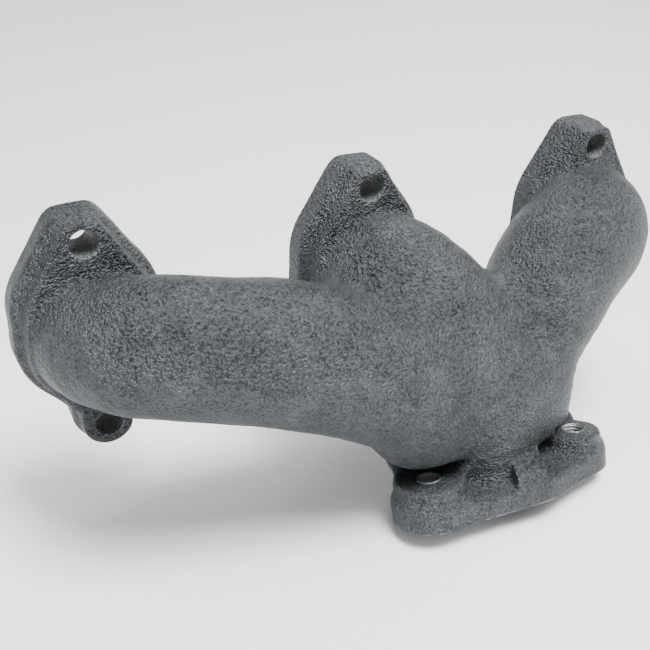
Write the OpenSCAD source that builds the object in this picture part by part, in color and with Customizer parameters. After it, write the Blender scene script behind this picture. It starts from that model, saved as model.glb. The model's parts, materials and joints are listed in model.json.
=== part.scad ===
// Exhaust manifold for a three-cylinder engine, one grey iron casting drawn as its named sections.
// Origin: centre of the middle port on the engine face. +Y points into the engine, +Z is up.

/* [Ports] */
// Distance between neighbouring port centres
port_pitch = 130; // [122:1:150]
// Bore of each port
port_bore_d = 44; // [38:1:46]
// Distance between the two stud holes of a port flange
stud_spacing = 86; // [84:1:92]
// Stud hole diameter
stud_hole_d = 12; // [9:0.5:12.5]
// Thickness of the plate that seals against the engine
plate_t = 12; // [8:0.5:15]
// Height of the stud bosses above the plate
boss_t = 10; // [6:0.5:12]
// Outer radius of the plate round the port
plate_r = 31.8; // [31:0.1:34]
// Diameter of the round neck between plate and runner
neck_d = 60; // [56:1:61]

/* [Runners] */
// Iron wall of runners and collector
wall_t = 6; // [5:0.5:7]
// Radius of the bends that leave the end ports, along the middle of the passage
bend_r = 29; // [29:0.5:32]
// Outer radius of the runners where they reach the collector
runner_r = 31; // [29:0.5:32]
// How far the right bend turns before its runner goes on
right_turn = 70; // [60:1:80]
// Length of the middle runner's straight stub
stub_len = 9; // [6:1:12]

/* [Outlet] */
// Outlet centre along the port row
outlet_x = 44; // [40:1:48]
// Outlet centre in front of the engine face
outlet_y = -80; // [-86:1:-78]
// Height of the outlet's boss tops, below the port centres
outlet_z = -80; // [-84:1:-78]
// Lean of the outlet face away from the engine
outlet_tilt = 16; // [10:1:20]
// Outlet bore
outlet_bore_d = 40; // [34:1:41]
// Distance between the two tapped holes
outlet_bolt_spacing = 86; // [84:1:90]
// Root diameter of the tapped holes
tapped_d = 8.5; // [6.8:0.1:9]
// Thickness of the outlet plate
outlet_plate_t = 11; // [9:0.5:13]
// Height of the tapped bosses above the plate
outlet_boss_t = 9; // [6:0.5:10]
// Radius of the rounded ends of the plate
outlet_end_r = 15.5; // [14:0.5:17]
// Half of the plate's width at the middle
outlet_mid_r = 27; // [25:0.5:28]

/* [Hidden] */

iron = "#5b6163";
stud_z = stud_spacing / 2;
bore_r = port_bore_d / 2;
neck_r = neck_d / 2;
flange_t = plate_t + boss_t;
plate_flat = 9.6;        // half length of the plate's straight sides
upper_lug_r = 7.5;       // corner radius of the upper lug
upper_lug_half = 6.3;    // its corners stand this far from the middle
lug_rise = 9;            // the upper lug's top stands this far above the stud
lower_lug_r = 11.5;      // the lower lug is round about its stud
boss_lug_r = 5.5;        // the boss's upper corners are tighter
boss_root_half = 17;     // half width of a boss where it meets the neck
bore_over = 1;           // cutting tools reach this far past a face
slice_t = 0.02;          // thickness of a slice used only as the end of a hull
tube_fn = 36;
ball_fn = 24;
smooth = 48;

elbow_r = bore_r + wall_t;
path_steps = 3;          // tube sections from one path point to the next

port_x = [-port_pitch, 0, port_pitch];

// The left bend turns the passage along +X; the right one stops short of -X.
left_end = [bend_r - port_pitch, -flange_t - bend_r, 0];
right_end = [port_pitch - bend_r * (1 - cos(right_turn)), -flange_t - bend_r * sin(right_turn), 0];
right_lead = [-sin(right_turn), -cos(right_turn), 0];

// A runner's path: x, y, z and outer radius of each point, after the direction it starts in
left_lead = [1, 0, 0];
left_path = [[each left_end, elbow_r], [52 - port_pitch, left_end[1] - 2, -3, elbow_r + 1.5],
             [72 - port_pitch, left_end[1] - 5, -10, runner_r - 0.5], [92 - port_pitch, left_end[1] - 9, -19, runner_r]];
right_path = [[each right_end, elbow_r], [port_pitch - 32, right_end[1] - 4, -2.5, elbow_r + 1],
              [port_pitch - 45, right_end[1] - 8, -9.5, runner_r - 0.5]];

// The collector is a wide belly between two ball centres.
belly_left = [9, -66, -34];
belly_right = [63, -65, -35];
belly_middle = [32, -62, -30];
belly_r = runner_r - 1;
neck_u = 31;             // half axes of the oval neck above the outlet
neck_w = 22;
neck_top = 10;           // the neck ends this far above the boss tops
outlet_face = -outlet_boss_t - outlet_plate_t;
bolt_u = outlet_bolt_spacing / 2;
tapped_boss_r = 11.5;
pad_half = 11;           // the front pad's half length, depth, and height above the plate
pad_depth = 6;
pad_rise = 3.5;

function place(q) = [q[0], q[1], q[2]];

// Path point before the first, set so that the curve starts along lead, or after the last, in line
function reach(p, lead, i) =
    i < 0 ? [each place(p[1]) - 2 * norm(place(p[1] - p[0])) * lead, 2 * p[0][3] - p[1][3]]
    : i >= len(p) ? 2 * p[len(p) - 1] - p[len(p) - 2] : p[i];

// Catmull-Rom curve through the path points, s counted in points
function along(p, lead, s) =
    let (i = min(floor(s), len(p) - 2), t = s - i,
         a = reach(p, lead, i - 1), b = reach(p, lead, i), c = reach(p, lead, i + 1), d = reach(p, lead, i + 2))
    0.5 * (2 * b + (c - a) * t + (2 * a - 5 * b + 4 * c - d) * t * t + (3 * b - a - 3 * c + d) * t * t * t);

// Direction of travel
function heading(p, lead, s) =
    s == 0 ? lead : place(along(p, lead, min(s + 0.01, len(p) - 1)) - along(p, lead, s - 0.01));

// Corner points of a round section at a point, square to a direction
function ring(at, dir, r) =
    let (n = dir / norm(dir), side = cross(n, [0, 0, 1]) / norm(cross(n, [0, 0, 1])), up = cross(side, n))
    [for (k = [0 : tube_fn - 1]) at + r * (cos(k * 360 / tube_fn) * side + sin(k * 360 / tube_fn) * up)];

// Section of a path's tube, its radius reduced by less, moved on by shift
function cut(p, lead, s, less, shift = 0) =
    let (q = along(p, lead, s), h = heading(p, lead, s) / norm(heading(p, lead, s)))
    ring(place(q) + shift * h, h, q[3] - less);

// A flat loop of points, for use inside hull()
module loop(points) {
    polyhedron(points = points, faces = [[for (i = [0 : len(points) - 1]) i]]);
}

// Hollow tube along a path: outer and inner sections as one skin, closed at both ends
module hollow_tube(p, lead) {
    last = (len(p) - 1) * path_steps;
    layer = (last + 1) * tube_fn;
    points = [for (less = [0, wall_t], k = [0 : last]) each cut(p, lead, k / path_steps, less)];
    outer = [for (k = [0 : last - 1], i = [0 : tube_fn - 1])
        let (a = k * tube_fn + i, b = k * tube_fn + (i + 1) % tube_fn)
        each [[a, a + tube_fn, b], [b, a + tube_fn, b + tube_fn]]];
    inner = [for (f = outer) [f[2] + layer, f[1] + layer, f[0] + layer]];
    ends = [for (k = [0, last], i = [0 : tube_fn - 1])
        let (a = k * tube_fn + i, b = k * tube_fn + (i + 1) % tube_fn)
        each k == 0 ? [[a, b, b + layer], [a, b + layer, a + layer]] : [[b, a, b + layer], [b + layer, a, a + layer]]];
    polyhedron(points = points, faces = concat(outer, inner, ends));
}

// Hollow quarter bend or less, starting at the origin along -Y and turning to +X
module hollow_bend(turn) {
    translate([bend_r, 0, 0])
        rotate([0, 0, 180])
            rotate_extrude(angle = turn, $fn = 72)
                translate([bend_r, 0])
                    difference() {
                        circle(r = elbow_r, $fn = tube_fn);
                        circle(r = elbow_r - wall_t, $fn = tube_fn);
                    }
}

// A cylinder along Y from the depth y0 to y1, at x and z
module rod_y(x, z, y0, y1, r, fn = smooth) {
    translate([x, y1, z])
        rotate([90, 0, 0])
            cylinder(h = y1 - y0, r = r, $fn = fn);
}

module stud_hole(x, side) {
    rod_y(x, side * stud_z, -flange_t - bore_over, bore_over, stud_hole_d / 2);
}

// Rounded lozenge: a wide round middle, a blunt upper lug and a round lower lug
module port_plate(x) {
    color(iron)
    difference() {
        hull() {
            for (s = [-1, 1]) {
                rod_y(x, s * plate_flat, -plate_t, 0, plate_r);
                rod_y(x + s * upper_lug_half, stud_z + lug_rise - upper_lug_r, -plate_t, 0, upper_lug_r, 32);
            }
            rod_y(x, -stud_z, -plate_t, 0, lower_lug_r + 1, 32);
        }
        rod_y(x, 0, -plate_t - bore_over, bore_over, bore_r);
        stud_hole(x, 1);
        stud_hole(x, -1);
    }
}

// Round neck that the runner grows from
module port_neck(x) {
    color(iron)
    difference() {
        rod_y(x, 0, -flange_t, -plate_t, neck_r);
        rod_y(x, 0, -flange_t - bore_over, bore_over, bore_r);
    }
}

// Boss under the upper nut, blunt at the top and fitted round the neck
module upper_stud_boss(x) {
    color(iron)
    difference() {
        hull() {
            for (s = [-1, 1]) {
                rod_y(x + s * upper_lug_half, stud_z + lug_rise - boss_lug_r, -flange_t, -plate_t, boss_lug_r, 32);
                rod_y(x + s * boss_root_half, neck_r / 2, -flange_t, -plate_t, boss_lug_r, 32);
            }
        }
        rod_y(x, 0, -flange_t - bore_over, bore_over, neck_r);
        stud_hole(x, 1);
    }
}

// Boss under the lower nut, round about its stud
module lower_stud_boss(x) {
    color(iron)
    difference() {
        hull() {
            rod_y(x, -stud_z, -flange_t, -plate_t, lower_lug_r, 32);
            for (s = [-1, 1])
                rod_y(x + s * boss_root_half, -neck_r / 2, -flange_t, -plate_t, boss_lug_r, 32);
        }
        rod_y(x, 0, -flange_t - bore_over, bore_over, neck_r);
        stud_hole(x, -1);
    }
}

module left_elbow() {
    color(iron)
    translate([-port_pitch, -flange_t, 0])
        hollow_bend(90);
}

module left_runner() {
    color(iron) hollow_tube(left_path, left_lead);
}

// Straight stub between the middle port's neck and the collector
module middle_runner() {
    color(iron)
    difference() {
        rod_y(0, 0, -flange_t - stub_len, -flange_t, elbow_r);
        rod_y(0, 0, -flange_t - stub_len - bore_over, -flange_t + bore_over, bore_r);
    }
}

module right_elbow() {
    color(iron)
    translate([port_pitch, -flange_t, 0])
        mirror([1, 0, 0])
            hollow_bend(right_turn);
}

module right_runner() {
    color(iron) hollow_tube(right_path, right_lead);
}

// Frame of the outlet: origin on the boss tops, +Z up the outlet's own axis
module at_outlet() {
    translate([outlet_x, outlet_y, outlet_z])
        rotate([-outlet_tilt, 0, 0])
            children();
}

// Upright rod in the outlet's frame
module post(u, z0, z1, r, w = 0, fn = smooth) {
    translate([u, w, z0])
        cylinder(h = z1 - z0, r = r, $fn = fn);
}

// Oval slice of the neck
module oval(z, less = 0, t = slice_t) {
    over = neck_u - neck_w;
    for (s = [-1, 1])
        post(s * over, z, z + t, neck_w - less, 0, 32);
}

module ball(at, r) {
    translate(at) sphere(r = r, $fn = ball_fn);
}

// End section of a runner path, moved back into the runner by over
module mouth(p, lead, less, over) {
    loop(cut(p, lead, len(p) - 1, less, -over));
}

// Belly where the three runners meet; the passage inside is the same shape, one wall smaller
module belly(less = 0, over = 0) {
    hull() {
        mouth(left_path, left_lead, less, over);
        ball(belly_left, belly_r - less);
    }
    hull() {
        rod_y(0, 0, -flange_t - stub_len - slice_t, -flange_t - stub_len + over, elbow_r - less, tube_fn);
        ball(belly_middle, belly_r - less);
    }
    hull() {
        mouth(right_path, right_lead, less, over);
        ball(belly_right, belly_r - less);
    }
    hull() {
        ball(belly_left, belly_r - less);
        ball(belly_right, belly_r - less);
        at_outlet() oval(neck_top - over, less);
    }
}

module collector() {
    color(iron)
    difference() {
        belly();
        belly(wall_t, bore_over);
    }
}

module outlet_bore(z0, z1) {
    post(0, z0, z1, outlet_bore_d / 2);
}

// Short oval neck that the belly narrows to, above the outlet plate
module outlet_neck() {
    color(iron)
    difference() {
        at_outlet() hull() oval(-outlet_boss_t, 0, neck_top + outlet_boss_t);
        at_outlet() hull() {
            oval(neck_top + bore_over, wall_t);
            post(0, -outlet_boss_t, slice_t - outlet_boss_t, outlet_bore_d / 2, 0, 32);
        }
    }
}

// Two-bolt outlet plate, wide at the middle, with round ends
module outlet_flange() {
    color(iron)
    at_outlet() difference() {
        hull() {
            for (s = [-1, 1])
                post(s * bolt_u, outlet_face, -outlet_boss_t, outlet_end_r);
            post(0, outlet_face, -outlet_boss_t, outlet_mid_r);
        }
        outlet_bore(outlet_face - bore_over, bore_over);
        for (s = [-1, 1])
            post(s * bolt_u, outlet_face - bore_over, bore_over, tapped_d / 2);
    }
}

// Raised boss round a tapped hole, cut away where the neck passes
module outlet_boss(side) {
    color(iron)
    at_outlet() difference() {
        post(side * bolt_u, -outlet_boss_t, 0, tapped_boss_r);
        post(side * bolt_u, -outlet_boss_t - bore_over, bore_over, tapped_d / 2);
        hull() oval(-outlet_boss_t - bore_over, 0, outlet_boss_t + 2 * bore_over);
    }
}

// Low pad on the plate in front of the neck
module outlet_front_pad() {
    color(iron)
    at_outlet() difference() {
        translate([-pad_half, 1 - outlet_mid_r, -outlet_boss_t])
            cube([2 * pad_half, pad_depth, pad_rise]);
        hull() oval(-outlet_boss_t - bore_over, 0, outlet_boss_t + 2 * bore_over);
    }
}

port_plate(port_x[0]);  // left_port_plate
port_plate(port_x[1]);  // middle_port_plate
port_plate(port_x[2]);  // right_port_plate
port_neck(port_x[0]);  // left_port_neck
port_neck(port_x[1]);  // middle_port_neck
port_neck(port_x[2]);  // right_port_neck
upper_stud_boss(port_x[0]);  // left_upper_stud_boss
upper_stud_boss(port_x[1]);  // middle_upper_stud_boss
upper_stud_boss(port_x[2]);  // right_upper_stud_boss
lower_stud_boss(port_x[0]);  // left_lower_stud_boss
lower_stud_boss(port_x[1]);  // middle_lower_stud_boss
lower_stud_boss(port_x[2]);  // right_lower_stud_boss
left_elbow();
left_runner();
middle_runner();
right_elbow();
right_runner();
collector();
outlet_neck();
outlet_flange();
outlet_boss(-1);  // outlet_left_boss
outlet_boss(1);  // outlet_right_boss
outlet_front_pad();
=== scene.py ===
import json
import math
import bpy
import bmesh
import numpy as np
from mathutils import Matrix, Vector


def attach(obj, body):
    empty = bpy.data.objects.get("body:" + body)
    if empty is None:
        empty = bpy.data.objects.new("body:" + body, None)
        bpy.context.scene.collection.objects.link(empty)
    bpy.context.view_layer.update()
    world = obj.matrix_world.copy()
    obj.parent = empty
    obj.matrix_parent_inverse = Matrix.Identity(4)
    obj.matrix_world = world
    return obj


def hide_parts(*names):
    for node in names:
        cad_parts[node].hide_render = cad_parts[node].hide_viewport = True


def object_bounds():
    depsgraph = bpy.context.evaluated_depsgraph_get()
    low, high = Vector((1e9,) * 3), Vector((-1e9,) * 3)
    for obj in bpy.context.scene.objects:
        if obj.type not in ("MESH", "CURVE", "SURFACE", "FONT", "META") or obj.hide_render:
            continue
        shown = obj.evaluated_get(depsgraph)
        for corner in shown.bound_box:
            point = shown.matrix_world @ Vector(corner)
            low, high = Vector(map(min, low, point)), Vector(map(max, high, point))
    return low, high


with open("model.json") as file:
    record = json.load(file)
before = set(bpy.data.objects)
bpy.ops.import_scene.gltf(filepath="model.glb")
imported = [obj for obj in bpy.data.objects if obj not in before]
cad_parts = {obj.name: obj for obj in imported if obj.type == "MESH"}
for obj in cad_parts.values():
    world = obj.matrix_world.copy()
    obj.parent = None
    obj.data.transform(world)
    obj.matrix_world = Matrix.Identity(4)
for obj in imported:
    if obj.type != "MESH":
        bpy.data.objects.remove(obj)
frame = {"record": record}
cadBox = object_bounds()

# The casting is worked out in millimetres and becomes metres when it goes into a mesh.
mm = 0.001
mounts = {m["name"]: m for m in frame["record"]["mounts"]}


def placeOf(name):
    return np.array(mounts[name]["pos_m"]) / mm


def sizeOf(name, key):
    return mounts[name]["dims"][key]


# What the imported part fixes: ports, studs and the outlet's own frame
sides = ("left", "middle", "right")
portX = [placeOf(side + "_port_studs")[0] for side in sides]
flangeDepth = sizeOf("left_port_bore", "length_mm")
portR = sizeOf("middle_port_bore", "r_mm")
studZ = sizeOf("middle_port_studs", "spacing_y_mm") / 2
studR = sizeOf("middle_port_studs", "hole_r_mm")
outletDown = np.array(mounts["outlet_bore"]["axis"])
leanSin, leanCos = -outletDown[1], -outletDown[2]
outletDepth = sizeOf("outlet_left_thread", "length_mm")    # boss tops to sealing face
outletR = sizeOf("outlet_bore", "r_mm")
threadRoot = sizeOf("outlet_left_thread", "r_mm")
tappedAt = [placeOf("outlet_" + side + "_thread") for side in ("left", "right")]
boltHalf = (tappedAt[1][0] - tappedAt[0][0]) / 2
outletTop = (tappedAt[0] + tappedAt[1]) / 2 - outletDown * outletDepth / 2

portFlange = {
    "plateDepth": 12.0, "plateR": 31.8, "plateTopHalf": 6.3, "plateTopZ": 50.8, "plateTopR": 7.5,
    "plateLowR": 12.3,
    "tierR": 28.3, "tierTopHalf": 5.4, "tierTopZ": 52.2, "tierTopR": 4.5, "tierLowR": 12.0,
    "flat": 9.6, "middleDrop": 0.4, "waistDrop": 0.6, "waistR": 0.55, "lugFlare": 1.0, "lowCove": 2.0,
    "draft": 1.2, "edge": 1.5, "fillet": 2.5, "tubeFillet": 4.0,
}
outlet = {
    "plateDepth": 11.0, "leftR": 18.0, "rightR": 14.5, "midU": 8.0, "midW": 6.0, "midR": 17.5, "edge": 1.8,
    "leftBossR": 17.0, "rightBossR": 13.2, "bossFillet": 3.0, "tubeFillet": 7.5,
    "spotR": 12.0, "spotSlope": 0.9, "spotRise": 6.0, "spotEdge": 4.0,
    "padHalf": 8.5, "padU": -0.5, "padW": -22.6, "padSkew": 0.35, "padShift": 8.0, "padTop": -3.0,
    "padSlope": 0.5, "padEdge": 2.0, "padFillet": 2.0,
}
tapping = {
    "drillR": 5.2, "drillTop": 3.0, "pitch": 1.5, "perPitch": 10, "around": 64,
    "top": -1.0, "grooveDeep": 0.85, "runOut": 0.8, "endDeep": 0.75,
    "lip": [(5.35, -0.25), (5.55, 0.03), (5.7, -0.05), (5.7, -1.2)], "skirtTop": -2.0, "press": 0.08,
    "mark": 0.6,
}

# Middle line and outer radius of each runner: x, y, z, r
runners = {
    "left": [(portX[0], 0, 0, 27), (portX[0], -flangeDepth, 0, 27), (-123, -36, 2.4, 27.8),
             (-116.6, -43.8, 4.5, 28.9), (-102.8, -48.6, 2.6, 29.6), (-82, -53, -2.3, 30.5),
             (-60, -55.5, -8.6, 31.8), (-29.5, -61, -20.7, 32), (-5.7, -64.5, -36.8, 30.5),
             (2.5, -65, -54, 26), (5, -60, -69, 17.5), (4, -59.5, -80, 13)],
    "middle": [(0, 0, 0, 28), (0, -flangeDepth, 0, 28), (7.6, -33, 1, 29.3), (22, -47, -14.5, 30.5),
               (36, -60, -42, 28), (37, -68, -63, 24), (38, -74, -82, 19.5), (39, -76.5, -91, 18)],
    "right": [(portX[2], 0, 0, 28), (portX[2], -flangeDepth, 0, 28), (125, -27, 3, 30.8),
              (116.7, -34.3, 0.5, 31.8), (98.5, -42, -6, 32), (82.5, -49.6, -19, 30.8),
              (69.5, -57, -36.6, 27), (63.5, -67, -58, 22.6), (75, -65.5, -73, 15.5), (86, -63, -84, 10.5)],
}
casting = {
    "spineSteps": 3, "runnerBlend": 18.0, "wall": 5.5, "wallLeast": 3.3, "machinedEdge": 0.7,
    "coreBlend": 14.0, "coreEnd": 2.0, "coreEndEdge": 3.0, "boreFillet": 1.5, "drillReach": 62.0,
    "throatHalf": 4.0, "throatR": 13.0, "throatW": 5.0, "throatRise": 12.0, "throatEnd": 9.0,
    "throatFillet": 4.0,
}


def softMin(a, b, k):
    # the smaller of two distances, rounded off where they differ by less than k
    h = np.maximum(k - np.abs(a - b), 0) / k
    return np.minimum(a, b) - h * h * k / 4


def softMax(a, b, k):
    return -softMin(-a, -b, k)


def teardrop(x, z, a, b, ra, rb):
    # distance to the outline made by circles ra about a and rb about b and their outer tangents
    span = math.hypot(b[0] - a[0], b[1] - a[1])
    ux, uz = (b[0] - a[0]) / span, (b[1] - a[1]) / span
    dx, dz = x - a[0], z - a[1]
    along = dx * ux + dz * uz
    off = np.abs(dz * ux - dx * uz)
    lean = (ra - rb) / span
    flat = math.sqrt(1 - lean * lean)
    k = flat * along - lean * off
    d = off * flat + along * lean - ra
    d = np.where(k < 0, np.hypot(off, along) - ra, d)
    return np.where(k > flat * span, np.hypot(off, along - span) - rb, d)


def lozenge(x, z, r, topHalf, topZ, topR, lowR):
    # flange outline: a round middle with short flat sides, a blunt upper lug, a round lower lug
    f = portFlange
    flat = f["flat"]
    middle = (0, -flat * f["middleDrop"])
    d = teardrop(x, z, middle, (0, flat), r, r - 0.01)
    d = np.minimum(d, teardrop(np.abs(x), z, (0, flat), (topHalf, topZ - topR), r, topR))
    low = np.minimum(teardrop(x, z, middle, (0, -studZ * f["waistDrop"]), r, r * f["waistR"]),
                     teardrop(x, z, (0, -flat), (0, -studZ), lowR + f["lugFlare"], lowR))
    d = softMin(d, low, f["lowCove"])
    return np.minimum(d, np.maximum(np.abs(x) - topHalf, np.maximum(z - topZ, -z)))


def portFlangeField(p, x0):
    # plate, then a tier with draft on top of it, joined by a cove
    f = portFlange
    x, y, z = p[:, 0] - x0, p[:, 1], p[:, 2]
    plate = lozenge(x, z, f["plateR"], f["plateTopHalf"], f["plateTopZ"], f["plateTopR"], f["plateLowR"])
    plate = softMax(plate, -(y + f["plateDepth"]), f["edge"] * 2)
    rise = np.clip((-f["plateDepth"] - y) / (flangeDepth - f["plateDepth"]), 0, 1)
    tier = lozenge(x, z, f["tierR"], f["tierTopHalf"], f["tierTopZ"], f["tierTopR"], f["tierLowR"])
    tier = softMax(tier + f["draft"] * rise, -(y + flangeDepth), f["edge"])
    return softMin(plate, tier, f["fillet"] * 2)


def outletFrame(p):
    # u along the port row, w towards the engine, h up the outlet's axis from the boss tops
    q = p - outletTop
    return q[:, 0], q[:, 1] * leanCos - q[:, 2] * leanSin, q[:, 1] * leanSin + q[:, 2] * leanCos


def outletField(u, w, h):
    # two-bolt plate with a tapped boss at each end and a raised prow at the front
    o = outlet
    mid = (o["midU"], -o["midW"])
    rim = np.minimum(teardrop(u, -np.abs(w), (-boltHalf, 0), mid, o["leftR"], o["midR"]),
                     teardrop(u, -np.abs(w), (boltHalf, 0), mid, o["rightR"], o["midR"]))
    plate = softMax(rim, h + outletDepth - o["plateDepth"], o["edge"] * 2)
    left = np.hypot(u + boltHalf, w) - o["leftBossR"]
    boss = softMax(np.minimum(left, np.hypot(u - boltHalf, w) - o["rightBossR"]), h, o["edge"])
    across = np.abs(u - o["padU"] - w * o["padSkew"] - o["padShift"]) - o["padHalf"]
    slant = np.maximum(across, np.maximum(o["padW"] - w, w))
    ramp = (h - o["padTop"] - (w - o["padW"]) * o["padSlope"]) * 0.9    # 0.9 makes the slope a distance
    pad = softMax(softMax(slant, rim, o["padEdge"]), ramp, o["padEdge"])
    return softMin(plate, boss, o["bossFillet"] * 2), pad


def splineThrough(points, steps):
    # Catmull-Rom curve through the rows, steps samples from each to the next
    q = np.array(points, float)
    q = np.vstack([2 * q[0] - q[1], q, 2 * q[-1] - q[-2]])
    t = np.arange(steps)[None, :, None] / steps
    a, b, c, d = (q[i:len(q) - 3 + i, None] for i in range(4))
    curve = 2 * b + (c - a) * t + (2 * a - 5 * b + 4 * c - d) * t ** 2 + (3 * b - a - 3 * c + d) * t ** 3
    return np.vstack([(0.5 * curve).reshape(-1, q.shape[1]), q[-2]])


spines = {name: splineThrough(points, casting["spineSteps"]) for name, points in runners.items()}
farOff = 60.0
spineReach = 24.0       # stretches further off than this can't shape the surface
outletReach = 85.0      # the same for the whole outlet, and for a port flange
portReach = 50.0


def tubeField(p, spine, centre, reach):
    # distance from a row of tapered stretches, outside and core; far stretches are passed over
    outside = np.full(len(p), farOff)
    core = np.full(len(p), farOff)
    for a, b in zip(spine[:-1], spine[1:]):
        ab = b[:3] - a[:3]
        half = math.sqrt(ab @ ab) / 2
        if np.linalg.norm(centre - (a[:3] + b[:3]) / 2) - half - reach - max(a[3], b[3]) > spineReach:
            continue
        t = np.clip((p - a[:3]) @ ab / (ab @ ab), 0, 1)
        q = p - a[:3] - t[:, None] * ab
        away = np.sqrt(np.einsum("ij,ij->i", q, q))
        r = a[3] + t * (b[3] - a[3])
        outside = np.minimum(outside, away - r)
        core = np.minimum(core, away - r + casting["wall"])
    return outside, core


def blockField(p, coreOnly):
    # signed distance from the iron's surface, or from the core's, for points that lie close together
    low, high = p.min(0), p.max(0)
    centre = (low + high) / 2
    reach = float(np.linalg.norm(high - low)) / 2
    x, y, z = p[:, 0], p[:, 1], p[:, 2]
    u, w, h = outletFrame(p)
    outside = core = None
    for spine in spines.values():
        skin, hole = tubeField(p, spine, centre, reach)
        outside = skin if outside is None else softMin(outside, skin, casting["runnerBlend"])
        core = hole if core is None else softMin(core, hole, casting["coreBlend"])
    nearOutlet = np.linalg.norm(centre - outletTop) < reach + outletReach
    if nearOutlet:
        flange, pad = outletField(u, w, h)
        outside = softMin(softMin(outside, flange, outlet["tubeFillet"]), pad, outlet["padFillet"])
    nearPorts = [x0 for x0 in portX if abs(centre[0] - x0) < reach + portReach and high[1] > -portReach]
    for x0 in nearPorts:
        outside = softMin(outside, portFlangeField(p, x0), portFlange["tubeFillet"])
    edge = casting["machinedEdge"]
    iron = softMax(outside, y, edge)
    if nearOutlet:
        iron = softMax(iron, -(h + outletDepth), edge)
        spot = np.hypot(np.abs(u) - boltHalf, w)
        cone = spot - outlet["spotR"] - outlet["spotSlope"] * np.maximum(h - 1, 0)
        pocket = np.maximum(cone * 0.75, np.maximum(-h, h - outlet["spotRise"]))
        iron = softMax(iron, -pocket, outlet["spotEdge"])
        iron = softMax(iron, np.minimum(tapping["drillR"] - spot, tapping["drillTop"] - h), edge)
        narrow = np.clip((h + outletDepth - 1) / casting["throatRise"], 0, 1)
        narrow = narrow * narrow * (3 - 2 * narrow)
        along = np.maximum(np.abs(u) - casting["throatHalf"] * narrow, 0)
        throat = np.hypot(along, w - casting["throatW"] * narrow) - outletR
        throat = throat + (outletR - casting["throatR"]) * narrow
        core = softMax(core, casting["coreEnd"] - h, casting["coreEndEdge"])
        core = softMin(core, np.maximum(throat, h - casting["throatEnd"]), casting["throatFillet"])
        core = softMax(core, softMax(outside, -pocket, 2.0) + casting["wallLeast"], 1.0)
    core = softMax(core, y + flangeDepth - 1, 1.0)
    for x0 in nearPorts:
        bore = np.maximum(np.hypot(x - x0, z) - portR, -(y + flangeDepth + 2))
        core = softMin(core, bore, casting["boreFillet"])
        for s in (-studZ, studZ):
            drill = np.hypot(x - x0, z - s) - studR
            iron = softMax(iron, -np.maximum(drill, -(y + casting["drillReach"])), edge)
    return core if coreOnly else softMax(iron, -core, edge)


def castingField(p, coreOnly=False, block=22.0):
    # the same for any points: they are sorted into cubes and each cube is worked out on its own
    spread = 128        # more cubes each way than the casting needs, with the origin in the middle
    cube = np.floor(p / block).astype(np.int64) + spread // 2
    key = (cube[:, 0] * spread + cube[:, 1]) * spread + cube[:, 2]
    order = np.argsort(key, kind="stable")
    cuts = np.flatnonzero(np.diff(key[order])) + 1
    out = np.empty(len(p))
    for part in np.split(order, cuts):
        out[part] = blockField(p[part], coreOnly)
    return out


# From cells to a surface
mesher = {"voxel": 0.85, "halvings": 3, "relax": 2, "margin": 6.0,
          "keepCoarse": 1.15, "keepFine": 1.3, "sieveLimit": 3e6, "slide": 0.6, "pull": 0.6}
corners = np.stack(np.meshgrid((0, 1), (0, 1), (0, 1), indexing="ij"), -1).reshape(-1, 3)


def meshNormals(verts, tris):
    # corner sums of the faces' area vectors, made one long
    a, b, c = (verts[tris[:, i]] for i in range(3))
    area = np.cross(b - a, c - a)

    def gathered(values):
        return sum(np.bincount(tris[:, i], values, len(verts)) for i in range(3))

    out = np.stack([gathered(area[:, k]) for k in range(3)], -1)
    return out / np.maximum(np.linalg.norm(out, axis=1, keepdims=True), 1e-12)


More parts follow.
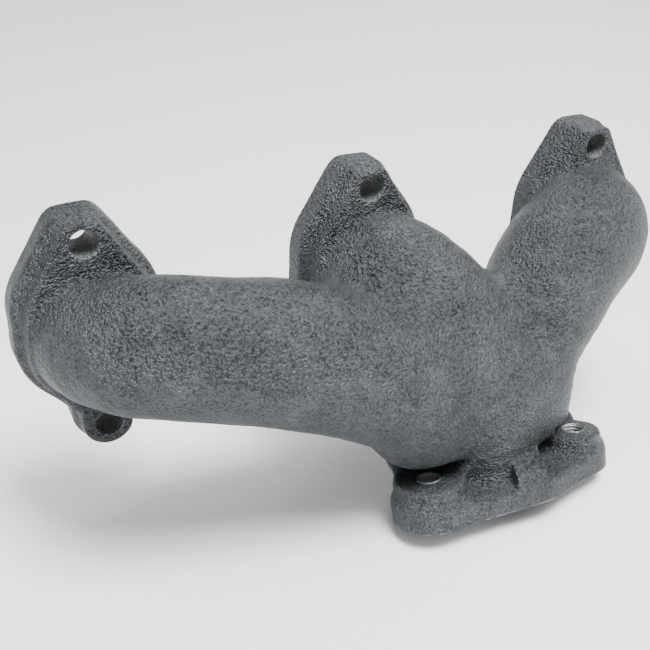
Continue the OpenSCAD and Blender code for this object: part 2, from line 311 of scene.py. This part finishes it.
def surfaceFrom(field, low, high, voxel, halvings):
    # cells near the surface are halved again and again, then each cell that the surface crosses gets one
    # vertex, and each grid edge that it crosses one quad between the four cells round it
    step = voxel * 2 ** halvings
    counts = np.ceil((high - low) / step).astype(int)
    cells = np.stack(np.meshgrid(*(np.arange(n) for n in counts), indexing="ij"), -1).reshape(-1, 3)
    for _ in range(halvings):
        d = field(low + (cells + 0.5) * step)
        cells = cells[np.abs(d) < step * mesher["keepCoarse"]]
        cells = (cells[:, None] * 2 + corners[None]).reshape(-1, 3)
        step /= 2
    if len(cells) < mesher["sieveLimit"]:
        cells = cells[np.abs(field(low + (cells + 0.5) * step)) < step * mesher["keepFine"]]
    span = (counts * 2 ** halvings + 3).astype(np.int64)

    def keyOf(ijk):
        return (ijk[..., 0] * span[1] + ijk[..., 1]) * span[2] + ijk[..., 2]

    around = (cells[:, None] + corners[None]).reshape(-1, 3)
    _, first, back = np.unique(keyOf(around), return_index=True, return_inverse=True)
    at = around[first]
    value = field(low + at * step)[back.reshape(-1)].reshape(-1, 8)
    crossed = (value.min(1) < 0) & (value.max(1) >= 0)
    cells, value = cells[crossed], value[crossed]
    order = np.argsort(keyOf(cells))
    cells, value = cells[order], value[order]
    cellKeys = keyOf(cells)
    total, hits = np.zeros((len(cells), 3)), np.zeros(len(cells))
    for i in range(8):
        for j in range(i + 1, 8):
            if np.abs(corners[i] - corners[j]).sum() != 1:
                continue
            a, b = value[:, i], value[:, j]
            cross = (a < 0) != (b < 0)
            t = np.where(cross, a / np.where(cross, a - b, 1), 0)
            total += cross[:, None] * (corners[i] + t[:, None] * (corners[j] - corners[i]))
            hits += cross
    verts = low + (cells + total / hits[:, None]) * step
    quads = []
    unit = np.eye(3, dtype=int)
    for axis in range(3):
        a, b = value[:, 0], value[:, 4 >> axis]      # a cell's first corner and the next along the axis
        cross = np.flatnonzero((a < 0) != (b < 0))
        e1, e2 = unit[(axis + 1) % 3], unit[(axis + 2) % 3]
        ring = [cells[cross] - s for s in (0 * e1, e1, e1 + e2, e2)]
        index = np.stack([np.searchsorted(cellKeys, keyOf(c)) for c in ring], -1)
        index[a[cross] >= 0] = index[a[cross] >= 0][:, ::-1]
        quads.append(index)
    return verts, np.vstack(quads)


def relaxed(verts, quads, field, rounds):
    # each vertex slides towards the middle of its neighbours along the surface, then back onto the field
    tris = np.vstack([quads[:, [0, 1, 2]], quads[:, [0, 2, 3]]])
    edges = np.vstack([quads[:, [0, 1]], quads[:, [1, 2]], quads[:, [2, 3]], quads[:, [3, 0]]])

    def fromNeighbours(values):
        return (np.bincount(edges[:, 0], values[edges[:, 1]], len(verts))
                + np.bincount(edges[:, 1], values[edges[:, 0]], len(verts)))

    degree = fromNeighbours(np.ones(len(verts)))
    for i in range(rounds + 1):
        normal = meshNormals(verts, tris)
        if i < rounds:
            total = np.stack([fromNeighbours(verts[:, k]) for k in range(3)], -1)
            slide = total / degree[:, None] - verts
            slide -= np.einsum("ij,ij->i", slide, normal)[:, None] * normal
            verts = verts + mesher["slide"] * slide
        d = np.clip(field(verts), -mesher["pull"], mesher["pull"])
        verts = verts - d[:, None] * normal
    a, b, c, d = (verts[quads[:, i]] for i in range(4))
    short = np.linalg.norm(a - c, axis=1) < np.linalg.norm(b - d, axis=1)
    acrossAC, acrossBD = quads[:, [[0, 1, 2], [0, 2, 3]]], quads[:, [[0, 1, 3], [1, 2, 3]]]
    tris = np.where(short[:, None, None], acrossAC, acrossBD)
    return verts, tris.reshape(-1, 3)


finish = {"faceSkin": 0.25, "holeSkin": 0.3, "studTo": -40.0, "boreTo": -6.0, "tappedTo": 3.0,
          "outletTo": 4.0, "drilled": 0.3, "tapped": 0.5, "coreSkin": 0.7}


def surfaceFinish(verts):
    # 0 on cast skin, up to 1 on faces and holes that a cutter made; and 1 inside the gas passage
    x, y, z = verts.T
    u, w, h = outletFrame(verts)
    near = finish["holeSkin"]
    cutter = ((y > -finish["faceSkin"]) | (h < finish["faceSkin"] - outletDepth)).astype(float)
    for x0 in portX:
        for s in (-studZ, studZ):
            drilled = (np.hypot(x - x0, z - s) < studR + near) & (y > finish["studTo"])
            cutter[drilled & (cutter == 0)] = finish["drilled"]
        cutter[(np.hypot(x - x0, z) < portR + near) & (y > finish["boreTo"])] = 1
    spot = np.hypot(np.abs(u) - boltHalf, w)
    cutter[(spot < tapping["drillR"] + near) & (h < finish["tappedTo"])] = finish["tapped"]
    cutter[(np.hypot(u, w) < outletR + near) & (h < finish["outletTo"] - outletDepth)] = 1
    inside = (castingField(verts, True) < finish["coreSkin"]) & (cutter == 0)
    return cutter, inside.astype(float)


mould = {"waves": ((38.0, 0.16), (17.0, 0.10), (8.0, 0.05)), "perWave": 6, "even": 2.4, "seed": 11}


def unevenness(verts):
    # slow waves of a hand-rammed mould: sums of sines at three lengths, in millimetres
    rng = np.random.default_rng(mould["seed"])
    out = np.zeros(len(verts))
    for length, height in mould["waves"]:
        for _ in range(mould["perWave"]):
            way = rng.normal(size=3)
            way *= 2 * math.pi / (length * np.linalg.norm(way))
            out += height / mould["even"] * np.sin(verts @ way + rng.uniform(0, 6.3))
    return out


marks = {"dots": [(69, -63.5), (80, -58), (91, -51.5), (101, -45)],
         "dotR": 1.9, "dotEdge": 1.2, "dotRise": 0.55, "dotsAbove": 5.0,
         "ridgeFrom": -106, "ridgeTo": -66, "ridgeFade": 6.0, "ridgeRise": 0.5, "ridgeHalf": 0.8,
         "ridgeX": -99.6, "ridgeZ": 4.6, "ridgeFall": 0.285, "ridgeSag": 0.0025, "ridgeFront": -68,
         "groundFrom": -149, "groundTo": -128, "groundLow": 4.0, "groundHigh": 11.0, "groundPitch": 1.5,
         "groundFade": 3.0, "groundRim": 1.5, "groundFront": -45, "groundDeep": 0.16}


def castMarks(verts):
    # height added along the normal: a mould ridge on the left runner's front, four plain foundry dots on
    # the right runner's top, and a row of shallow upright file strokes by the left bend
    x, y, z = verts.T
    m = marks
    off = x - m["ridgeX"]
    line = m["ridgeZ"] - m["ridgeFall"] * off - m["ridgeSag"] * off ** 2
    ends = np.clip(np.minimum(x - m["ridgeFrom"], m["ridgeTo"] - x) / m["ridgeFade"], 0, 1)
    out = m["ridgeRise"] * ends * (y < m["ridgeFront"]) * np.exp(-((z - line) / m["ridgeHalf"]) ** 2)
    for dx, dy in m["dots"]:
        dot = np.clip(m["dotR"] + m["dotEdge"] / 2 - np.hypot(x - dx, y - dy), 0, m["dotEdge"]) / m["dotEdge"]
        out += m["dotRise"] * (z > m["dotsAbove"]) * dot
    window = np.clip(np.minimum(x - m["groundFrom"], m["groundTo"] - x) / m["groundFade"], 0, 1)
    window *= y < m["groundFront"]
    window *= np.clip(np.minimum(z - m["groundLow"], m["groundHigh"] - z) / m["groundRim"], 0, 1)
    return out - m["groundDeep"] * window * (0.5 + 0.5 * np.sin(x * 2 * math.pi / m["groundPitch"]))


low = np.array(cadBox[0]) / mm - mesher["margin"]
high = np.array(cadBox[1]) / mm + mesher["margin"]
verts, quads = surfaceFrom(castingField, low, high, mesher["voxel"], mesher["halvings"])
verts, tris = relaxed(verts, quads, castingField, mesher["relax"])
print("skin of the casting", len(verts), "vertices")
machined, cored = surfaceFinish(verts)
normals = meshNormals(verts, tris)
rise = (unevenness(verts) + castMarks(verts)) * (machined == 0) * (cored == 0)
verts = verts + rise[:, None] * normals
normals = meshNormals(verts, tris)


# Cutting the skin into the part's own sections
def wholeSkin():
    return {"verts": verts, "marks": np.stack([machined, cored], -1), "tris": tris, "normals": normals[tris]}


def used(piece):
    keep, tris = np.unique(piece["tris"], return_inverse=True)
    return {"verts": piece["verts"][keep], "marks": piece["marks"][keep], "tris": tris.reshape(-1, 3),
            "normals": piece["normals"]}


def capFor(verts, edges, normal):
    # flat fill between closed loops of cut edges, holes left open
    bm = bmesh.new()
    index, flat = np.unique(edges, return_inverse=True)
    made = [bm.verts.new(v) for v in verts[index].tolist()]
    for a, b in flat.reshape(-1, 2).tolist():
        if a != b and not bm.edges.get((made[a], made[b])):
            bm.edges.new((made[a], made[b]))
    bmesh.ops.triangle_fill(bm, use_beauty=True, use_dissolve=False, edges=bm.edges[:],
                            normal=normal.tolist())
    bm.verts.index_update()
    out = np.array([[v.index for v in f.verts] for f in bm.faces], int).reshape(-1, 3)
    bm.free()
    out = index[out]
    a, b, c = (verts[out[:, i]] for i in range(3))
    turned = np.cross(b - a, c - a) @ normal < 0
    out[turned] = out[turned][:, ::-1]
    return out


def halved(piece, point, normal, clear=0.06):
    # splits a closed piece along a plane and caps both halves; the half in front comes first
    point, normal = np.asarray(point, float), np.asarray(normal, float) / np.linalg.norm(normal)
    verts = piece["verts"].copy()
    d = (verts - point) @ normal
    near = np.abs(d) < clear
    push = np.where(d >= 0, clear, -clear)
    verts[near] += (push - d)[near, None] * normal
    d = np.where(near, push, d)
    front = d > 0
    tris, soft = piece["tris"], piece["normals"]
    count = front[tris].sum(1)
    mixed = (count == 1) | (count == 2)
    t, n = tris[mixed], soft[mixed]
    alone = np.where(count[mixed] == 1, np.argmax(front[t], 1), np.argmax(~front[t], 1))
    turn = (alone[:, None] + np.arange(3)) % 3
    t = np.take_along_axis(t, turn, 1)
    n = np.take_along_axis(n, turn[:, :, None], 1)
    lone = front[t[:, 0]]
    pairs = np.vstack([t[:, [0, 1]], t[:, [0, 2]]])
    pairs.sort(1)
    cut, back = np.unique(pairs, axis=0, return_inverse=True)
    back = back.reshape(-1)
    s = d[cut[:, 0]] / (d[cut[:, 0]] - d[cut[:, 1]])
    fresh = verts[cut[:, 0]] + s[:, None] * (verts[cut[:, 1]] - verts[cut[:, 0]])
    marks = piece["marks"]
    freshMarks = marks[cut[:, 0]] + s[:, None] * (marks[cut[:, 1]] - marks[cut[:, 0]])
    p, q = back[:len(t)] + len(verts), back[len(t):] + len(verts)

    def between(i, j):
        share = (d[t[:, i]] / (d[t[:, i]] - d[t[:, j]]))[:, None]
        mix = n[:, i] * (1 - share) + n[:, j] * share
        return mix / np.linalg.norm(mix, axis=1, keepdims=True)

    atP, atQ = between(0, 1), between(0, 2)
    tip = (np.stack([t[:, 0], p, q], -1), np.stack([n[:, 0], atP, atQ], 1))
    base = (np.vstack([np.stack([p, t[:, 1], t[:, 2]], -1), np.stack([p, t[:, 2], q], -1)]),
            np.vstack([np.stack([atP, n[:, 1], n[:, 2]], 1), np.stack([atP, n[:, 2], atQ], 1)]))
    twice = np.concatenate([lone, lone])
    allVerts = np.vstack([verts, fresh])
    allMarks = np.vstack([marks, freshMarks])
    cap = capFor(allVerts, np.stack([p, q], -1), normal)
    out = []
    for isFront in (True, False):
        whole = count == (3 if isFront else 0)
        outward = -normal if isFront else normal
        capTris = cap[:, ::-1] if isFront else cap
        capSoft = np.broadcast_to(outward, (len(cap), 3, 3))
        out.append(used({
            "verts": allVerts, "marks": allMarks,
            "tris": np.vstack([tris[whole], tip[0][lone == isFront], base[0][twice != isFront], capTris]),
            "normals": np.vstack([soft[whole], tip[1][lone == isFront], base[1][twice != isFront],
                                  capSoft])}))
    return out


def outletPoint(u, w, h):
    return outletTop + np.array([u, w * leanCos + h * leanSin, h * leanCos - w * leanSin])


outletUp = -outletDown
cuts = {"endX": 96.5, "tierY": -24.0, "plateY": -13.0, "lugZ": 25.0, "leftRunnerX": -36.0, "stubY": -33.0,
        "rightAt": (81, -55, -15), "rightWay": (0.83, 0.24, 0.5),
        "plateTop": outlet["plateDepth"] - outletDepth + 0.6, "neckTop": 11.0, "bossU": 31.75,
        "padLow": (0, -19, -8.5), "padHigh": (0, -26.5, -4)}


def flangeSections(side, piece):
    plate, tier = halved(piece, (0, cuts["plateY"], 0), (0, 1, 0))
    upper, rest = halved(tier, (0, 0, cuts["lugZ"]), (0, 0, 1))
    lower, neck = halved(rest, (0, 0, -cuts["lugZ"]), (0, 0, -1))
    return {side + "_port_plate": plate, side + "_upper_stud_boss": upper,
            side + "_lower_stud_boss": lower, side + "_port_neck": neck}


def castingSections():
    # one closed piece for each of the part's nodes, from plane cuts one after another
    out = {}
    rest, out["outlet_flange"] = halved(wholeSkin(), outletPoint(0, 0, cuts["plateTop"]), outletUp)
    end, rest = halved(rest, (-cuts["endX"], 0, 0), (-1, 0, 0))
    ported, out["left_elbow"] = halved(end, (0, cuts["tierY"], 0), (0, 1, 0))
    out.update(flangeSections("left", ported))
    end, rest = halved(rest, (cuts["endX"], 0, 0), (1, 0, 0))
    ported, out["right_elbow"] = halved(end, (0, cuts["tierY"], 0), (0, 1, 0))
    out.update(flangeSections("right", ported))
    out["left_runner"], rest = halved(rest, (cuts["leftRunnerX"], 0, 0), (-1, 0, 0))
    out["right_runner"], rest = halved(rest, cuts["rightAt"], cuts["rightWay"])
    behind, rest = halved(rest, (0, cuts["stubY"], 0), (0, 1, 0))
    ported, out["middle_runner"] = halved(behind, (0, cuts["tierY"], 0), (0, 1, 0))
    out.update(flangeSections("middle", ported))
    out["collector"], foot = halved(rest, outletPoint(0, 0, cuts["neckTop"]), outletUp)
    out["outlet_left_boss"], foot = halved(foot, outletPoint(-cuts["bossU"], 0, 0), (-1, 0, 0))
    out["outlet_right_boss"], foot = halved(foot, outletPoint(cuts["bossU"], 0, 0), (1, 0, 0))
    padLow = outletPoint(*cuts["padLow"])
    front = padLow - outletPoint(*cuts["padHigh"])
    out["outlet_front_pad"], out["outlet_neck"] = halved(foot, padLow, -np.cross(front, (1, 0, 0)))
    return out


def linked(name, data):
    made = bpy.data.objects.new(name, data)
    bpy.context.scene.collection.objects.link(made)
    return made


def meshPiece(name, piece, node):
    mesh = bpy.data.meshes.new(name)
    mesh.from_pydata((piece["verts"] * mm).tolist(), [], piece["tris"].tolist())
    for key, values in (("machined", piece["marks"][:, 0]), ("cored", piece["marks"][:, 1])):
        mesh.attributes.new(key, "FLOAT", "POINT").data.foreach_set("value", values.astype(np.float32))
    mesh.polygons.foreach_set("use_smooth", np.ones(len(piece["tris"]), bool))
    mesh.normals_split_custom_set(piece["normals"].reshape(-1, 3).tolist())
    made = linked(name, mesh)
    made.data.materials.append(ironMaterial)
    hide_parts(node)
    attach(made, "root")
    return made


# Finishes
iron = {"skin": (0.088, 0.098, 0.102), "dark": (0.012, 0.0135, 0.0145), "cut": (0.27, 0.275, 0.28),
        "core": (0.040, 0.041, 0.041), "metallic": 0.5,
        "skinRough": 0.42, "roughSwing": 0.18, "cutRough": 0.32, "coreRough": 0.75,
        "grain": 0.00095, "cloudSize": 0.022, "stainSize": 0.006, "sandSize": 0.0007, "turnedRings": 180.0,
        "pebbleRise": 0.0018, "sandRise": 0.0004, "turnedRise": 0.0001}


def nodeMaker(tree):
    def add(kind, settings=None, **sockets):
        node = tree.nodes.new(kind)
        for key, value in (settings or {}).items():
            setattr(node, key, value)
        for key, value in sockets.items():
            numbered = key[0] == "i" and key[1:].isdigit()      # i0, i1 and i2 are sockets by place
            socket = node.inputs[int(key[1:]) if numbered else key]
            if isinstance(value, bpy.types.NodeSocket):
                tree.links.new(value, socket)
            else:
                socket.default_value = value
        return node
    return add


def castIron():
    # sand-cast skin: pebbled grain with finer pits, cloudy colour; cut faces get turning marks instead
    mat = bpy.data.materials.new("castIronSkin")
    mat.use_nodes = True
    tree = mat.node_tree
    tree.nodes.clear()
    add = nodeMaker(tree)
    coord = add("ShaderNodeTexCoord").outputs["Object"]
    machinedMark = add("ShaderNodeAttribute", {"attribute_name": "machined"}).outputs["Fac"]
    coredMark = add("ShaderNodeAttribute", {"attribute_name": "cored"}).outputs["Fac"]

    def noise(size, detail, rough=0.5):
        return add("ShaderNodeTexNoise", None, Vector=coord, Scale=1 / size, Detail=detail,
                   Roughness=rough).outputs["Fac"]

    def mix(factor, a, b, kind="RGBA"):
        node = add("ShaderNodeMix", {"data_type": kind})
        inputs = {s.identifier: s for s in node.inputs}
        suffix = {"RGBA": "Color", "FLOAT": "Float", "VECTOR": "Vector"}[kind]
        for name, value in (("Factor_Float", factor), ("A_" + suffix, a), ("B_" + suffix, b)):
            if isinstance(value, bpy.types.NodeSocket):
                tree.links.new(value, inputs[name])
            else:
                inputs[name].default_value = value
        return next(s for s in node.outputs if s.identifier == "Result_" + suffix)

    def maths(operation, a, b=0.0, c=0.0):
        return add("ShaderNodeMath", {"operation": operation}, i0=a, i1=b, i2=c).outputs[0]

    grain = noise(iron["grain"] * 1.6, 3.0, 0.62)
    pits = add("ShaderNodeTexVoronoi", {"feature": "SMOOTH_F1"}, Vector=coord, Scale=1 / iron["grain"],
               Smoothness=0.7).outputs["Distance"]
    cloud = noise(iron["cloudSize"], 3.0)
    stain = noise(iron["stainSize"], 4.0)
    pebbles = maths("SUBTRACT", maths("MULTIPLY", grain, 1.3), maths("MULTIPLY", pits, 0.7))
    tone = maths("MULTIPLY_ADD", cloud, 0.9, maths("MULTIPLY_ADD", stain, 0.5, -0.2))
    tone = maths("MULTIPLY_ADD", pebbles, 1.3, maths("SUBTRACT", tone, 0.42))
    tone = maths("MINIMUM", maths("MAXIMUM", tone, 0.0), 1.0)
    skin = mix(tone, (*iron["dark"], 1), (*iron["skin"], 1))
    skin = mix(coredMark, skin, (*iron["core"], 1))
    colour = mix(machinedMark, skin, (*iron["cut"], 1))
    roughSkin = maths("MULTIPLY_ADD", grain, iron["roughSwing"], iron["skinRough"] - iron["roughSwing"] / 2)
    rough = mix(coredMark, roughSkin, iron["coreRough"], "FLOAT")
    rough = mix(machinedMark, rough, iron["cutRough"], "FLOAT")
    wide = add("ShaderNodeBump", None, Strength=1.0, Distance=iron["pebbleRise"], Height=pebbles)
    sandy = add("ShaderNodeBump", None, Strength=0.7, Distance=iron["sandRise"],
                Height=noise(iron["sandSize"], 2.0), Normal=wide.outputs["Normal"])
    ridges = add("ShaderNodeTexWave", {"wave_type": "RINGS", "rings_direction": "SPHERICAL"}, Vector=coord,
                 Scale=iron["turnedRings"], Distortion=0.6, Detail=2.0).outputs["Fac"]
    turned = add("ShaderNodeBump", None, Strength=0.25, Distance=iron["turnedRise"], Height=ridges)
    normal = mix(machinedMark, sandy.outputs["Normal"], turned.outputs["Normal"], "VECTOR")
    shader = add("ShaderNodeBsdfPrincipled")
    shader.inputs["Metallic"].default_value = iron["metallic"]
    tree.links.new(colour, shader.inputs["Base Color"])
    tree.links.new(rough, shader.inputs["Roughness"])
    tree.links.new(normal, shader.inputs["Normal"])
    out = add("ShaderNodeOutputMaterial")
    tree.links.new(shader.outputs["BSDF"], out.inputs["Surface"])
    return mat


ironMaterial = castIron()
skinPieces = {node: meshPiece(node + "_casting", piece, node) for node, piece in castingSections().items()}
print("cast sections", len(skinPieces), "triangles", sum(len(p.data.polygons) for p in skinPieces.values()))


def threadSleeve(name, u0):
    # a closed lathe shape about the tapped hole's axis: the wall's radius rises and falls with
    # height / pitch - angle / turn, so the grooves run as a helix; then countersink, rim and plain outside
    t = tapping
    around, pitch, top = t["around"], t["pitch"], t["top"]
    steps = int((outletDepth + top) / pitch * t["perPitch"])
    h = np.linspace(-outletDepth, top, steps + 1)
    angle = np.arange(around) / around * 2 * math.pi
    groove = (h[:, None] / pitch - angle[None] / (2 * math.pi)) % 1.0
    depth = t["grooveDeep"] * np.clip(1.25 - 2.5 * np.abs(groove - 0.5), 0, 1)
    ends = np.clip(np.minimum(h - h[0], h[-1] - h) / t["runOut"], 0, 1)[:, None]
    wallR = threadRoot + depth * ends + t["endDeep"] * (1 - ends)
    skirtR = t["drillR"] + t["press"]
    outline = [*t["lip"], (skirtR, t["skirtTop"]), (skirtR, -outletDepth)]
    r = np.vstack([wallR, [[rr] * around for rr, _ in outline]])
    z = np.vstack([np.repeat(h[:, None], around, 1), [[hh] * around for _, hh in outline]])
    u, w = u0 + r * np.cos(angle), r * np.sin(angle)
    offset = np.stack([u, w * leanCos + z * leanSin, z * leanCos - w * leanSin], -1)
    verts = outletTop + offset.reshape(-1, 3)
    rows = len(r)
    i, j = np.meshgrid(np.arange(rows), np.arange(around), indexing="ij")
    a, b = i * around + j, i * around + (j + 1) % around
    c, d = ((i + 1) % rows) * around + (j + 1) % around, ((i + 1) % rows) * around + j
    mesh = bpy.data.meshes.new(name)
    mesh.from_pydata((verts * mm).tolist(), [], np.stack([a, d, c, b], -1).reshape(-1, 4).tolist())
    machinedMark = mesh.attributes.new("machined", "FLOAT", "POINT")
    machinedMark.data.foreach_set("value", np.full(len(verts), t["mark"], np.float32))
    mesh.attributes.new("cored", "FLOAT", "POINT")
    mesh.polygons.foreach_set("use_smooth", np.ones(len(mesh.polygons), bool))
    made = linked(name, mesh)
    mesh.materials.append(ironMaterial)
    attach(made, "root")


for name, u0 in (("outlet_left_thread", -boltHalf), ("outlet_right_thread", boltHalf)):
    threadSleeve(name, u0)
print("threads cut")


# Floor, light and camera
stage = {
    "floor": (0.74, 0.745, 0.75), "floorRough": 0.9, "halfWidth": 5, "front": -4, "back": 9,
    "world": (0.94, 0.96, 1.0), "horizon": 0.04, "zenith": 0.8, "glowFrom": -0.1, "glowTo": 0.7,
    "sun": 2.8, "sunSpread": 55, "sunTilt": (9, 3, 0), "aim": (0, -0.05, 0),
}
lamps = {"keyLight": {"at": (0.1, -0.45, 1.1), "width": 0.5, "watts": 40},
         "rimLight": {"at": (0.9, 0.9, 0.8), "width": 0.7, "watts": 6}}
view = {"at": (-0.194, -0.356, 0.1953), "yaw": 27.0, "pitch": 30.0, "lens": 50.62, "sensor": 36.0}


def floorPlane():
    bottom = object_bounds()[0][2]
    side, front, back = stage["halfWidth"], stage["front"], stage["back"]
    mesh = bpy.data.meshes.new("studioFloor")
    rim = [(-side, front, bottom), (side, front, bottom), (side, back, bottom), (-side, back, bottom)]
    mesh.from_pydata(rim, [], [(0, 1, 2, 3)])
    made = linked("studioFloor", mesh)
    mat = bpy.data.materials.new("studioFloor")
    mat.use_nodes = True
    shader = mat.node_tree.nodes["Principled BSDF"]
    shader.inputs["Base Color"].default_value = (*stage["floor"], 1)
    shader.inputs["Roughness"].default_value = stage["floorRough"]
    mesh.materials.append(mat)


def softLight(name, lamp):
    light = bpy.data.lights.new(name, "AREA")
    light.shape = "DISK"
    light.size = lamp["width"]
    light.energy = lamp["watts"]
    made = linked(name, light)
    made.location = lamp["at"]
    way = Vector(stage["aim"]) - Vector(lamp["at"])
    made.rotation_euler = way.to_track_quat("-Z", "Y").to_euler()


def skyLight():
    sun = bpy.data.lights.new("skyLight", "SUN")
    sun.energy = stage["sun"]
    sun.angle = math.radians(stage["sunSpread"])
    linked("skyLight", sun).rotation_euler = [math.radians(a) for a in stage["sunTilt"]]


def studioAir():
    # brightness rises from the horizon to the zenith
    world = bpy.data.worlds.new("studioAir")
    world.use_nodes = True
    add = nodeMaker(world.node_tree)
    direction = add("ShaderNodeTexCoord").outputs["Generated"]
    height = add("ShaderNodeSeparateXYZ", None, Vector=direction).outputs["Z"]
    glow = add("ShaderNodeMapRange", {"interpolation_type": "SMOOTHSTEP"}, Value=height)
    limits = {"From Min": stage["glowFrom"], "From Max": stage["glowTo"],
              "To Min": stage["horizon"], "To Max": stage["zenith"]}
    for socket, value in limits.items():
        glow.inputs[socket].default_value = value
    background = world.node_tree.nodes["Background"]
    background.inputs["Color"].default_value = (*stage["world"], 1)
    world.node_tree.links.new(glow.outputs["Result"], background.inputs["Strength"])
    bpy.context.scene.world = world


def viewCamera():
    camera = bpy.data.cameras.new("viewCamera")
    camera.lens = view["lens"]
    camera.sensor_width = view["sensor"]
    made = linked("viewCamera", camera)
    made.location = view["at"]
    made.rotation_euler = (math.radians(90 - view["pitch"]), 0, math.radians(-view["yaw"]))
    bpy.context.scene.camera = made


floorPlane()
for name, lamp in lamps.items():
    softLight(name, lamp)
skyLight()
studioAir()
viewCamera()
print("floor, lights and camera set")
